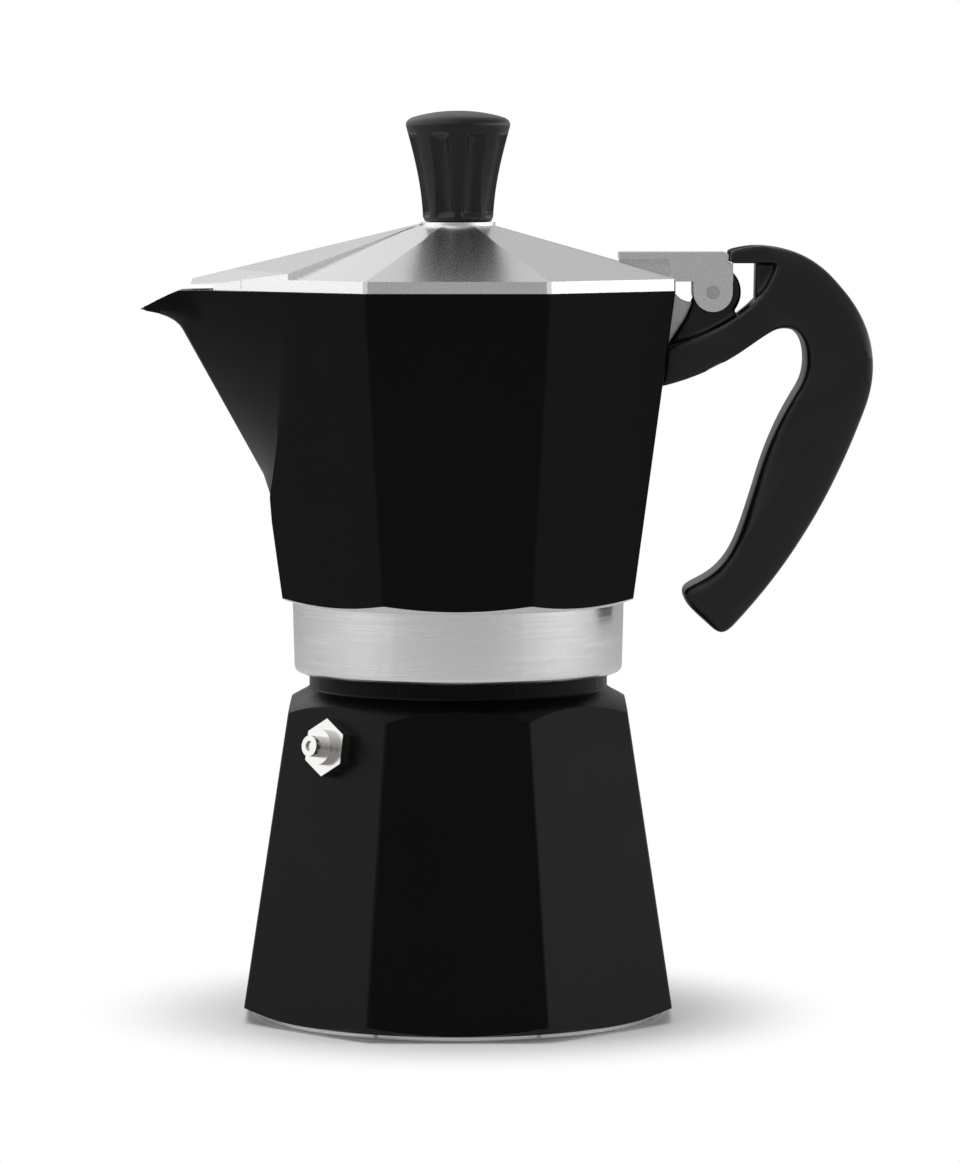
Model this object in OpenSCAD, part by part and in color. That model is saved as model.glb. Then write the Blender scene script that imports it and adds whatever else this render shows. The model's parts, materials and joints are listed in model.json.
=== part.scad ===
// Stovetop moka pot for six cups. Water boils in the lower vessel, rises through the
// coffee in the funnel and runs out of the column in the collector above it.
// The origin is the centre of the boiler's underside, with +Z up, the handle on +X,
// the spout on -X and the safety valve on the facet between -X and -Y.

/* [Boiler] */
// Half the width across the boiler's flats at its foot
boiler_apothem = 51.5; // [49:0.5:56]
// Half the width across the boiler's flats at its shoulder
boiler_top_apothem = 40.8; // [40:0.2:43]
// Height of the shoulder, where the facets end
shoulder_z = 75; // [70:1:82]
// Thickness of the cast walls
wall = 2.8; // [2.2:0.1:3.4]
// Radius of the boiler's neck below the thread
neck_r = 36.2; // [35.8:0.1:36.3]

/* [Thread] */
// Rise of the collector in one turn
thread_pitch = 4; // [3.6:0.1:4.4]
// Turns of the ridge on the boiler's neck
thread_turns = 1.75; // [1.25:0.25:1.75]
// Radial clearance between the two threads
thread_clearance = 0.5; // [0.3:0.1:0.6]

/* [Collector] */
// Height of the collector's rim above the table
rim_z = 176; // [160:1:190]
// Half the width across the collector's flats at its rim
rim_apothem = 51.9; // [50:0.5:56]
// Half the width across the collector's flats at its foot
collector_foot_apothem = 41.9; // [41:0.1:43]
// Radius of the bare collar that holds the thread
collar_r = 40.2; // [39.6:0.1:41]
// Reach of the spout's nose from the axis at the rim
spout_reach = 72.1; // [66:0.5:74]
// Reach of the pouring lip from the axis
lip_reach = 77; // [75:0.5:79]
// Height of the column's top above the table
column_top_z = 160; // [140:1:166]

/* [Funnel] */
// Outer radius of the coffee basket
basket_r = 30.2; // [27:0.1:30.4]
// Depth of the coffee basket
basket_depth = 23; // [18:1:28]
// Outer radius of the funnel's tube
tube_r = 4; // [3.5:0.1:5]

/* [Lid] */
// Rise of the lid's facets for each millimetre of run
lid_slope = 0.29; // [0.24:0.01:0.32]
// Height of the lid's upright edge
lid_skirt_h = 2.8; // [2.4:0.1:4]
// Thickness of the lid
lid_wall = 1.8; // [1.4:0.1:2.2]

/* [Knob] */
// Height of the knob
knob_h = 26.8; // [20:0.2:32]
// Largest radius of the knob
knob_r = 12.7; // [10:0.1:15]
// Radius of the knob's foot
knob_foot_r = 8.2; // [7.5:0.1:8.6]
// Number of flutes around the knob
flutes = 8; // [6:1:10]

/* [Hinge] */
// Distance of the hinge pin from the axis
pin_x = 61.4; // [61:0.1:62]
// Drop of the hinge pin below the rim
pin_drop = 0.6; // [0.4:0.1:0.8]
// Radius of the hinge pin
pin_r = 1.5; // [1.2:0.1:1.8]
// Running clearance around the pin
pin_clearance = 0.05; // [0.02:0.01:0.08]
// Half the width of the lid's tongue over its ears
tongue_half = 8; // [7.6:0.1:8.4]
// Thickness of each ear of the tongue
ear_t = 2.4; // [2:0.1:2.5]
// Widest angle of the open lid
lid_open = 90; // [84:1:92]

/* [Handle] */
// Reach of the grip from the pot's axis
handle_reach = 101; // [98:0.5:108]
// Width of the handle over its shoulders
handle_w = 22; // [21:0.5:26]
// Width of the grip
grip_w = 17.5; // [14:0.5:20]
// Width of the lug that the handle is slotted over
lug_w = 6; // [5:0.1:6.4]

/* [Safety valve] */
// Height of the valve's axis at the facet
valve_z = 67.5; // [60:0.5:68]
// Width across the flats of the valve's hexagon
valve_hex = 12; // [10:0.5:13]

/* [Hidden] */
$fn = 96;
eps = 0.02;
far = 200;
turned_gap = 0.05;
// Flutes of the knob: their own radius, how far in from its widest their axes pass, and their lean
flute_r = 3.2;
flute_in = 0.8;
flute_lean = 10.5;
octant = 45;
half_octant = 22.5;

// boiler
foot_r = 50.3;
foot_h = 1.3;
facet_foot_z = 3.8;
floor_t = 3.6;
edge_cut = 0.25;
boiler_slope = (boiler_apothem - boiler_top_apothem) / (shoulder_z - facet_foot_z);
neck_z = shoulder_z + 4.6;
collar_z = shoulder_z + 8.3;
neck_step_z = collar_z - 0.3;
mouth_z = shoulder_z + 19;
mouth_r = 30.9;

// thread
thread_root_r = neck_r - 1.3;
thread_crest_r = neck_r - 0.2;
bore_r = thread_crest_r + thread_clearance + 0.1;
bore_crest_r = thread_root_r + thread_clearance;
ridge_w = 1.7;
crest_w = 1.1;
thread_z = collar_z + 1.9;

// seal between the boiler and the collector
flange_t = 0.8;
flange_r = 34.2;
gasket_r = min(35, bore_crest_r - 0.3);
gasket_bore = 28.5;
gasket_h = 3.5;
seat_z = mouth_z + flange_t + gasket_h;
plate_t = 0.8;
plate_r = 30;

// collector
collar_top_z = collar_z + 17.3;
floor_z = collar_z + 22.5;
collector_slope = (rim_apothem - collector_foot_apothem) / (rim_z - collar_top_z);
column_bore = 4.6;
column_foot_r = 10;
column_top_r = 6.8;
outlet_r = 2.4;

// spout
spout_z = rim_z - 50.5;
spout_root_top = 33.6;
nose_r = 3.4;
nose_slope = 0.555;
curl_drop = 9.5;
curl_h = 4.3;
curl_reach = lip_reach - spout_reach + nose_slope * (curl_drop - curl_h);

// lid
lid_base_z = rim_z + 0.1;
lid_edge_z = lid_base_z + lid_skirt_h;
lid_top_apothem = 8.8;
lid_top_z = lid_edge_z + lid_slope * (rim_apothem - lid_top_apothem);
lid_seat_z = lid_top_z + 0.8;
lid_boss_r = 9;
lid_hole = 2.2;
lid_under_z = lid_top_z - lid_wall - 1;

// hinge
pin_z = rim_z - pin_drop;
ear_r = 4.7;
plate_rise = 9.6;
tongue_t = 1.6;
tongue_end_x = pin_x + 3.7;
block_x = rim_apothem + 0.4;
block_end_x = pin_x + 4.8;
web_half = tongue_half - ear_t - 0.3;
nose_disc_r = 6.9;
sweep_r = sqrt(pow(plate_rise, 2) + pow(3.7, 2)) + 0.4;
wing_x = pin_x + 4 + 0.17 * (lid_open - 90);

// valve
valve_tilt = atan(boiler_slope);
valve_apothem = boiler_apothem - boiler_slope * (valve_z - facet_foot_z);
shank_r = 5;
hex_t = 3;
collar_t = 2;
valve_nose = 3;
chamber_r = 2.7;
stem_r = 1.15;
stem_head_r = 2.2;
valve_depth = 9;
spring_wire = 0.35;

// ---- shared shapes ----

// Eight flat facets whose apothem runs from a0 at z0 to a1 at z1, with eased corners.
module facets(a0, a1, z0, z1, ease = edge_cut) {
    lean = atan((a1 - a0) / (z1 - z0));
    difference() {
        translate([0, 0, z0])
            cylinder(h = z1 - z0, r1 = a0 / cos(half_octant) - ease,
                r2 = a1 / cos(half_octant) - ease);
        for (i = [0:7])
            rotate([0, 0, i * octant])
                translate([a0, 0, z0])
                    rotate([0, lean, 0])
                        translate([0, -far / 2, -far / 2])
                            cube(far);
    }
}

// A helical ridge that climbs with the angle, fading in and out at its ends.
module thread_ridge(root_r, crest_r, z0, turns) {
    steps = 36;
    n = round(steps * turns);
    fade = 4;
    height = crest_r - root_r;
    function reach(i) = root_r + height * min(1, (i + 0.5) / fade, (n - i + 0.5) / fade);
    function at(r, i, dz) = [r * cos(i * 360 / steps), r * sin(i * 360 / steps),
        z0 + thread_pitch * i / steps + dz];
    points = [for (i = [0:n])
        each [at(root_r, i, -ridge_w / 2), at(reach(i), i, -crest_w / 2),
            at(reach(i), i, crest_w / 2), at(root_r, i, ridge_w / 2)]];
    sides = [for (i = [0:n - 1])
        for (k = [0:3])
            let (a = 4 * i + k, b = 4 * i + (k + 1) % 4)
                each [[a, a + 4, b], [b, a + 4, b + 4]]];
    ends = [[0, 1, 2, 3], [4 * n + 3, 4 * n + 2, 4 * n + 1, 4 * n]];
    faces = concat(sides, ends);
    outward = crest_r > root_r;
    polyhedron(points, outward ? faces : [for (f = faces) [for (k = [len(f) - 1:-1:0]) f[k]]]);
}

// A solid skinned over level outlines that all have the same number of points.
module loft(outlines) {
    rows = len(outlines);
    n = len(outlines[0]);
    points = [for (row = outlines) each row];
    sides = [for (r = [0:rows - 2])
        for (k = [0:n - 1])
            let (a = r * n + k, b = r * n + (k + 1) % n)
                each [[a, a + n, b], [b, a + n, b + n]]];
    bottom = [for (k = [0:n - 1]) k];
    top = [for (k = [n - 1:-1:0]) (rows - 1) * n + k];
    polyhedron(points, concat(sides, [bottom, top]));
}

// Points of a cubic curve between a and d, pulled towards b and c.
function curve(a, b, c, d, n = 8) = [for (i = [0:n - 1])
    let (t = i / n, s = 1 - t)
        s * s * s * a + 3 * s * s * t * b + 3 * s * t * t * c + t * t * t * d];

// ---- boiler ----

module turned_envelope() {
    rotate_extrude()
        polygon([[0, 0], [foot_r - 0.5, 0], [foot_r, 0.5], [foot_r, foot_h], [boiler_apothem - 0.3, foot_h],
            [boiler_apothem / cos(half_octant), facet_foot_z], [far, facet_foot_z],
            [far, shoulder_z - 0.6], [boiler_top_apothem / cos(half_octant) + 0.3, shoulder_z - 0.6],
            [neck_r + 0.9, neck_z - 0.6], [neck_r, neck_z], [0, neck_z]]);
}

module boiler_cavity() {
    inner = boiler_top_apothem - wall;
    intersection() {
        facets(boiler_apothem - wall, inner, floor_t, shoulder_z, 3);
        rotate_extrude()
            polygon([[0, floor_t], [boiler_apothem - 7, floor_t], [boiler_apothem, floor_t + 6],
                [boiler_apothem, shoulder_z - 6], [inner + 3, shoulder_z - 6],
                [mouth_r, shoulder_z + 1], [0, shoulder_z + 1]]);
    }
    translate([0, 0, shoulder_z - 2])
        cylinder(h = far, r = mouth_r);
}

module boiler() {
    color("dimgray")
    difference() {
        union() {
            intersection() {
                facets(boiler_apothem + boiler_slope * facet_foot_z,
                    boiler_top_apothem - boiler_slope * 8, 0, shoulder_z + 8);
                turned_envelope();
            }
            rotate_extrude()
                polygon([[0, shoulder_z - 3], [neck_r, shoulder_z - 3], [neck_r, neck_step_z],
                    [thread_root_r, neck_step_z + 0.4], [thread_root_r, mouth_z - 0.6],
                    [thread_root_r - 0.6, mouth_z], [0, mouth_z]]);
            thread_ridge(thread_root_r - 0.4, thread_crest_r, thread_z, thread_turns);
        }
        boiler_cavity();
        at_valve()
            translate([0, 0, -valve_depth])
                cylinder(h = 2 * valve_depth, r = shank_r + pin_clearance);
    }
}

// ---- safety valve, drawn along +Z from the facet and then leaned onto it ----

module at_valve() {
    rotate([0, 0, 180 + octant])
        translate([valve_apothem, 0, valve_z])
            rotate([0, 90 - valve_tilt, 0])
                children();
}

module valve_body() {
    color("silver")
    at_valve()
        difference() {
            union() {
                intersection() {
                    translate([0, 0, turned_gap])
                        cylinder(h = hex_t, r = valve_hex / 2 / cos(30), $fn = 6);
                    cylinder(h = hex_t + 1, r1 = valve_hex, r2 = valve_hex / 2 - 0.6);
                }
                translate([0, 0, -valve_depth])
                    cylinder(h = valve_depth + 1, r = shank_r);
                cylinder(h = hex_t + collar_t, r = 4.2);
                cylinder(h = hex_t + collar_t + valve_nose, r = 2.5);
            }
            translate([0, 0, -valve_depth - eps])
                cylinder(h = valve_depth + hex_t + 0.8, r = chamber_r);
            cylinder(h = far, r = stem_r + pin_clearance);
        }
}

module valve_stem() {
    color("gray")
    at_valve() {
        translate([0, 0, -valve_depth + 2.2]) {
            cylinder(h = 0.8, r1 = 1.5, r2 = stem_head_r);
            translate([0, 0, 0.8])
                cylinder(h = 0.8, r = stem_head_r);
        }
        translate([0, 0, -valve_depth + 3])
            cylinder(h = valve_depth + hex_t + collar_t + valve_nose - 3.6, r = stem_r);
    }
}

module valve_spring() {
    turns = 5;
    steps = 16;
    z0 = -valve_depth + 4.4;
    z1 = hex_t + 0.2;
    coil_r = (stem_r + chamber_r) / 2;
    function ring(i) = let (a = i * 360 / steps)
        [for (k = [0:5])
            let (b = k * 60, r = coil_r + spring_wire * cos(b))
                [r * cos(a), r * sin(a), z0 + (z1 - z0) * i / (turns * steps) + spring_wire * sin(b)]];
    color("lightgray")
    at_valve()
        loft([for (i = [0:turns * steps]) ring(i)]);
}

module valve_seat() {
    color("silver")
    at_valve()
        translate([0, 0, -valve_depth])
            difference() {
                cylinder(h = 2, r = chamber_r - turned_gap);
                translate([0, 0, -eps])
                    cylinder(h = 2.1, r = 1.4);
            }
}

// ---- funnel ----

module funnel_basket() {
    floor_z0 = mouth_z - basket_depth;
    throat_z = floor_z0 - 8;
    inner = basket_r - flange_t;
    color("silver")
    rotate_extrude()
        polygon([[tube_r + turned_gap, throat_z - 4], [tube_r + 0.8, throat_z - 4], [tube_r + 0.8, throat_z],
            [basket_r, floor_z0], [basket_r, mouth_z], [flange_r, mouth_z], [flange_r, mouth_z + flange_t],
            [inner, mouth_z + flange_t], [inner, floor_z0 + 0.6], [inner - 1.2, floor_z0 + 0.6],
            [tube_r + turned_gap, throat_z + 1]]);
}

module funnel_tube() {
    throat_z = mouth_z - basket_depth - 8;
    bottom_z = floor_t + 5;
    color("silver")
    translate([0, 0, bottom_z])
        difference() {
            cylinder(h = throat_z - bottom_z + 0.6, r = tube_r);
            translate([0, 0, -eps])
                cylinder(h = far, r = tube_r - 0.7);
            translate([0, 0, -eps])
                rotate([0, 90, 0])
                    cylinder(h = far, r = 2.2, center = true);
        }
}

// A disc with rings of fine holes.
module sieve(r, t, rings, hole) {
    difference() {
        cylinder(h = t, r = r);
        for (ring = [1:rings])
            for (k = [0:6 * ring - 1])
                rotate([0, 0, k * 60 / ring])
                    translate([ring * (r - 4) / rings, 0, -eps])
                        cylinder(h = t + 2 * eps, r = hole, $fn = 24);
    }
}

module funnel_screen() {
    color("lightgray")
    translate([0, 0, mouth_z - basket_depth + 0.65])
        sieve(basket_r - flange_t - turned_gap, flange_t, 4, 0.7);
}

// ---- seal ----

module gasket() {
    color("whitesmoke")
    translate([0, 0, mouth_z + flange_t + turned_gap])
        difference() {
            cylinder(h = gasket_h - 2 * turned_gap, r = gasket_r);
            translate([0, 0, -eps])
                cylinder(h = gasket_h, r = gasket_bore);
        }
}

module filter_plate() {
    color("silver")
    translate([0, 0, seat_z]) {
        sieve(plate_r, plate_t, 4, 0.7);
        difference() {
            cylinder(h = plate_t + 0.3, r = plate_r);
            translate([0, 0, -eps])
                cylinder(h = plate_t + 1, r = plate_r - 1);
        }
    }
}

// ---- collector ----

function collector_apothem(z) = collector_foot_apothem + collector_slope * (z - collar_top_z);

// Reach of the spout's nose at height z: a straight line that curls out into the lip.
function nose_line(z) = spout_reach - nose_slope * (rim_z - z);
function curl_part(z) = min(1, max(0, (curl_drop - rim_z + z) / curl_h));
function nose_reach(z) = nose_line(min(z, rim_z - curl_drop + curl_h))
    + curl_reach * (1 - sqrt(1 - pow(curl_part(z), 2)));

// The collector's level outline at height z, inset from the outer skin: an octagon
// whose facet on the spout's side is drawn out into a rounded V.
function collector_outline(z, inset) =
    let (
        a = collector_apothem(z) - inset,
        c = a * tan(half_octant),
        ease = 0.7,
        bevel = ease * sqrt(0.5),
        t = max(0, (z - spout_z) / (rim_z - spout_z)),
        root_y = c + t * (spout_root_top - inset - c) - 0.01,
        root = [-(a * sqrt(2) - root_y), root_y],
        nose = max(a + 0.03, nose_line(z) - 1.25 * inset),
        lip = max(nose, nose_reach(z - 0.55 * inset) - 1.25 * inset),
        r = nose_r - 0.6 * inset,
        spread = max(5, 90 - atan2(root_y, max(0.01, nose + root[0]))),
        lip_spread = spread + curl_part(z) * (75 - spread),
        tangent = [-(nose - r + r * cos(spread)), r * sin(spread)],
        knee = root + 0.8 * (tangent - root),
        arc = [for (k = [3:-1:-3])
            [-(lip - r + r * cos(k * lip_spread / 3)), r * sin(k * lip_spread / 3)]],
        right = [[a, -c + ease], [a, c - ease], [a - bevel, c + bevel], [c + bevel, a - bevel],
            [c - ease, a], [-c + ease, a], [-c - bevel, a - bevel], root, knee])
    [for (p = concat(right, arc, [for (k = [8:-1:2]) [right[k][0], -right[k][1]]]))
        [p[0], p[1], z]];

// Levels of the skin, close together where the spout's nose curls out.
function collector_levels(z0, z1) = concat([z0],
    [for (z = [spout_z, spout_z + 10, spout_z + 22, rim_z - 20, rim_z - curl_drop]) if (z > z0) z],
    [for (k = [1:6]) rim_z - curl_drop + curl_h * sin(k * 15)], [z1]);

module collector_loft(z0, z1, inset) {
    loft([for (z = collector_levels(z0, z1)) collector_outline(z, inset)]);
}

// Everything above the slope that runs from the rim down to the lip's edge.
module lip_top_cut() {
    start_x = -spout_reach + 5.1;
    fall = atan2(curl_drop - curl_h - 0.4, lip_reach + start_x);
    translate([start_x, 0, rim_z])
        rotate([0, 180 - fall, 0])
            translate([0, -far / 2, -far])
                cube(far);
}

module collector_skin() {
    intersection() {
        collector_loft(collar_top_z - 0.5, rim_z, 0);
        rotate_extrude()
            polygon([[0, collar_top_z - 1], [collar_r, collar_top_z - 1], [collar_r, collar_top_z - 0.3],
                [collector_foot_apothem / cos(half_octant) + 0.4, collar_top_z + 1.8],
                [far, collar_top_z + 1.8], [far, rim_z + 1], [0, rim_z + 1]]);
    }
}

module lug() {
    heel_z = rim_z - 19;
    rotate([90, 0, 0])
        linear_extrude(height = lug_w, center = true)
            polygon(concat([[collector_apothem(heel_z) - 1, heel_z], [rim_apothem - 2, rim_z]],
                curve([rim_apothem + 0.6, rim_z], [rim_apothem + 1, rim_z - 2],
                    [rim_apothem + 3, rim_z - 3.6], [pin_x - 2, pin_z - 3], 6),
                [[pin_x, pin_z], [pin_x + 4, pin_z - 3], [pin_x - 2, heel_z + 6]]));
    translate([pin_x, 0, pin_z])
        rotate([90, 0, 0])
            cylinder(h = lug_w, r = 5, center = true);
}

module collector() {
    color("dimgray")
    difference() {
        union() {
            difference() {
                collector_skin();
                collector_loft(floor_z, rim_z + 1, wall);
                lip_top_cut();
            }
            rotate_extrude()
                polygon([[0, collar_z + 12], [collar_r - 2, collar_z], [collar_r - 0.9, collar_z + 0.2],
                    [collar_r - 0.4, collar_z + 1], [collar_r, collar_top_z - 0.2],
                    [collar_r, collar_top_z], [collar_r, floor_z - 2], [0, floor_z - 2]]);
            rotate_extrude()
                polygon([[0, collar_top_z - 1], [collar_r - 1.5, collar_top_z - 1], [collar_r - 2, floor_z],
                    [column_foot_r + 6, floor_z + 1], [column_foot_r + 1, floor_z + 3],
                    [column_foot_r, floor_z + 6], [column_top_r, column_top_z - 3],
                    [column_top_r - 1.5, column_top_z - 0.6], [3, column_top_z], [0, column_top_z]]);
            lug();
        }
        collar_bore();
        for (turn = [0, 180])
            rotate([0, 0, turn + 90])
                translate([0, 0, column_top_z - 6])
                    rotate([0, 90, 0])
                        cylinder(h = 20, r = outlet_r);
        translate([pin_x, 0, pin_z])
            rotate([90, 0, 0])
                cylinder(h = lug_w + 2, r = pin_r + pin_clearance, center = true);
    }
    color("silver")
    intersection() {
        thread_ridge(bore_r + 0.4, bore_crest_r, thread_z + thread_pitch / 2, 0.9);
        cylinder(h = far, r = bore_r + 0.3);
    }
}

module collar_bore() {
    rotate_extrude()
        polygon([[0, collar_z - 1], [bore_r + 0.8, collar_z - 1], [bore_r + 0.8, collar_z],
            [bore_r, collar_z + 0.8], [bore_r, seat_z], [plate_r + 0.4, seat_z],
            [plate_r + 0.4, seat_z + plate_t + 0.5], [plate_r - 3, seat_z + plate_t + 0.5],
            [column_bore + 2, floor_z - 2.5], [column_bore, floor_z],
            [column_bore - 0.8, column_top_z - 3], [0, column_top_z - 2]]);
}

// ---- lid ----

// One half of the gabled roof over the spout, on the -Y side.
module roof_half(drop) {
    ridge_slope = 0.241;
    ridge_top = lid_seat_z - drop;
    start_x = 8;
    fold_x = 54.7;
    end_x = 64.3 - drop * 0.9;
    root = [-40 + drop * 0.5, -33.4 + drop * 1.1, lid_edge_z + 1.5 - drop];
    corner = [-56.3 + drop * 0.9, -16.6 + drop * 0.9, lid_edge_z - 1 - drop];
    tip = [-end_x, -8.2 + drop * 0.7, lid_edge_z - 1.5 - drop];
    base_z = lid_base_z - (drop > 0 ? 1 : 0);
    function ridge(x) = [-x, 0, ridge_top - ridge_slope * (x - start_x)];
    function down(p) = [p[0], p[1], base_z];
    points = [ridge(start_x), ridge(fold_x), ridge(end_x), tip, corner, root,
        down(ridge(start_x)), down(ridge(end_x)), down(tip), down(corner), down(root)];
    polyhedron(points, [[0, 5, 1], [1, 5, 4], [1, 4, 3], [1, 3, 2], [2, 3, 8, 7], [3, 4, 9, 8],
        [4, 5, 10, 9], [5, 0, 6, 10], [6, 7, 8, 9, 10], [0, 1, 2, 7, 6]]);
}

module roof(drop = 0) {
    roof_half(drop);
    mirror([0, 1, 0])
        roof_half(drop);
}

module lid_shell(drop) {
    base = lid_base_z - (drop > 0 ? 1 : 0);
    a = rim_apothem - drop * 0.95;
    facets(a, a, base, lid_edge_z - drop, edge_cut);
    facets(a, lid_top_apothem, lid_edge_z - drop, lid_edge_z - drop + lid_slope * (a - lid_top_apothem), 0.1);
}

module tongue() {
    top = pin_z + plate_rise;
    under = top - tongue_t;
    start_x = rim_apothem - 13;
    // top plate
    translate([start_x, -tongue_half, under])
        cube([tongue_end_x - start_x - 0.6, 2 * tongue_half, tongue_t]);
    translate([tongue_end_x - 1.2, -tongue_half, under])
        cube([1.2, 2 * tongue_half, tongue_t - 0.5]);
    // narrow web under the plate, over the lid's facet
    translate([start_x, -3, lid_edge_z - 0.6])
        cube([block_x - start_x, 6, under - lid_edge_z + 1]);
    for (side = [-1, 1])
        translate([0, side * (tongue_half - ear_t / 2), 0])
            rotate([90, 0, 0])
                linear_extrude(height = ear_t, center = true)
                    union() {
                        translate([block_x - 1.5, pin_z + 2.6])
                            square([block_end_x - 1.2 - block_x + 1.5, under - pin_z - 2.5]);
                        translate([block_end_x - 1.4, pin_z + 2.6])
                            square([1.4, under - pin_z - 3.6]);
                        translate([pin_x, pin_z])
                            circle(r = ear_r);
                        translate([pin_x, pin_z])
                            square([ear_r, 3]);
                        translate([pin_x - ear_r, pin_z])
                            square([ear_r, 3]);
                    }
    // cross wall that closes the tongue's channel on the lid's edge
    translate([block_x - 1.5, -tongue_half, pin_z + 2.6])
        cube([1.6, 2 * tongue_half, under - pin_z - 2.5]);
}

module lid() {
    color("silver")
    difference() {
        union() {
            difference() {
                union() {
                    lid_shell(0);
                    roof();
                }
                lid_shell(lid_wall);
                roof(lid_wall);
            }
            translate([0, 0, lid_under_z])
                cylinder(h = lid_seat_z - lid_under_z, r = lid_boss_r);
            tongue();
        }
        translate([0, 0, lid_under_z - 1])
            cylinder(h = far, r = lid_hole);
        translate([pin_x, 0, pin_z])
            rotate([90, 0, 0])
                cylinder(h = handle_w, r = pin_r + pin_clearance, center = true);
        // gap under the roof's tip, where steam leaves over the spout
        translate([-far - 58.5, -far / 2, lid_base_z - 1])
            cube([far, far, 2.2]);
    }
}

// ---- knob ----

module knob() {
    waist = knob_foot_r + 0.3;
    edge_z = knob_h - 3.2;
    color("black")
    translate([0, 0, lid_seat_z + turned_gap])
        difference() {
            rotate_extrude()
                polygon(concat([[0, 0], [knob_foot_r - 0.5, 0], [knob_foot_r, 0.6]],
                    curve([waist, 1.2], [waist + 0.4, knob_h * 0.35], [knob_r - 2, knob_h * 0.6],
                        [knob_r - 0.3, edge_z - 1.2], 10),
                    curve([knob_r - 0.3, edge_z - 1.2], [knob_r + 0.1, edge_z], [knob_r, edge_z + 0.9],
                        [knob_r - 1.6, edge_z + 1.6], 5),
                    curve([knob_r - 1.6, edge_z + 1.6], [knob_r * 0.6, knob_h - 0.5],
                        [knob_r * 0.3, knob_h], [0, knob_h], 8), [[0, knob_h]]));
            for (i = [0:flutes - 1])
                rotate([0, 0, (i + 0.5) * 360 / flutes])
                    translate([knob_r - flute_in, 0, knob_h * 0.42])
                        rotate([0, flute_lean, 0])
                            cylinder(h = knob_h * 0.74, r = flute_r, center = true);
            translate([0, 0, -eps])
                cylinder(h = 12, r = 3.2 + turned_gap);
        }
}

module knob_insert() {
    color("goldenrod")
    translate([0, 0, lid_seat_z + 1])
        difference() {
            cylinder(h = 9, r = 3.2);
            translate([0, 0, -eps])
                cylinder(h = 12, r = 2 + turned_gap);
        }
}

module knob_washer() {
    color("silver")
    translate([0, 0, lid_under_z - 1])
        difference() {
            cylinder(h = 1 - turned_gap, r = 4.6);
            translate([0, 0, -eps])
                cylinder(h = 2, r = 2.15);
        }
}

module knob_screw() {
    head_z = lid_under_z - 1 - turned_gap;
    color("silver")
    difference() {
        union() {
            translate([0, 0, head_z - 2.2])
                cylinder(h = 2.2, r1 = 3, r2 = 3.7);
            translate([0, 0, head_z - 0.5])
                cylinder(h = lid_seat_z + 8 - head_z, r = 2);
        }
        translate([-5, -0.5, head_z - 3])
            cube([10, 1, 1.8]);
    }
}

// ---- handle ----

module hinge_pin() {
    color("silver")
    translate([pin_x, 0, pin_z])
        rotate([90, 0, 0])
            cylinder(h = 2 * tongue_half + 0.6, r = pin_r, center = true);
}

// Side view of the handle: the back runs from the hinge over the top and down the grip,
// and the front follows the finger gap back up to the collector's facet.
function handle_outline() =
    let (
        r = handle_reach,
        top = rim_z + 10.9,
        foot = rim_z - 83.3,
        heel = rim_z - 23.2,
        crown = rim_z - 9)
    concat(
        curve([wing_x, top - 1.5], [r - 30, top + 0.4], [r - 18, top + 1.6], [r - 9, rim_z + 1], 8),
        curve([r - 9, rim_z + 1], [r - 3, rim_z - 5.5], [r + 1.4, rim_z - 15], [r - 2.2, rim_z - 27], 8),
        curve([r - 2.2, rim_z - 27], [r - 9, rim_z - 46], [r - 18, rim_z - 64], [r - 35, foot + 1.4], 8),
        curve([r - 35, foot + 1.4], [r - 37, foot - 0.6], [r - 38, foot - 0.4], [r - 40, foot + 2], 4),
        curve([r - 40, foot + 2], [r - 44, foot + 5.6], [r - 50, foot + 10], [r - 45.2, foot + 12], 6),
        curve([r - 45.2, foot + 12], [r - 35, foot + 16], [r - 34, foot + 22], [r - 29.5, foot + 36], 8),
        curve([r - 29.5, foot + 36], [r - 26, foot + 49], [r - 21.5, foot + 56], [r - 18.3, foot + 61], 8),
        curve([r - 18.3, foot + 61], [r - 16, foot + 66], [r - 17, crown + 0.5], [r - 22.6, crown], 8),
        curve([r - 22.6, crown], [r - 28, crown - 0.4], [r - 34, rim_z - 19], [collector_apothem(heel), heel], 8),
        [[collector_apothem(heel), heel], [collector_apothem(rim_z - 14), rim_z - 14],
            [pin_x - 6.5, pin_z - 6], [pin_x - 4, pin_z], [wing_x, pin_z + 6.5]]);

module side_profile(width) {
    rotate([90, 0, 0])
        linear_extrude(height = width, center = true)
            children();
}

// Outline of the handle seen from behind, wide at the shoulders and slim in the grip.
module handle_width() {
    w = handle_w / 2;
    g = grip_w / 2;
    foot = rim_z - 85;
    right = concat(
        curve([g + 0.6, foot], [g + 0.6, foot + 10], [g - 0.4, foot + 22], [g, foot + 40], 6),
        curve([g, foot + 40], [g + 0.3, foot + 54], [w - 0.2, foot + 58], [w, foot + 72], 6),
        [[w, foot + 72], [w, rim_z + 14]]);
    left = [for (k = [len(right) - 1:-1:0]) [-right[k][0], right[k][1]]];
    rotate([90, 0, 90])
        linear_extrude(height = far)
            polygon(concat(right, left));
}

// Hollow in each side of the handle beside the hinge, below the roof's edge.
module shoulder_scoop() {
    polygon(concat([[pin_x - 14, pin_z + 7], [pin_x + 15.2, pin_z + 7]],
        curve([pin_x + 15.2, pin_z + 7], [pin_x + 13, pin_z - 2], [pin_x + 5, pin_z - 8],
            [pin_x - 9.5, pin_z - 12.5], 8), [[pin_x - 14, pin_z - 15]]));
}

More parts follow.
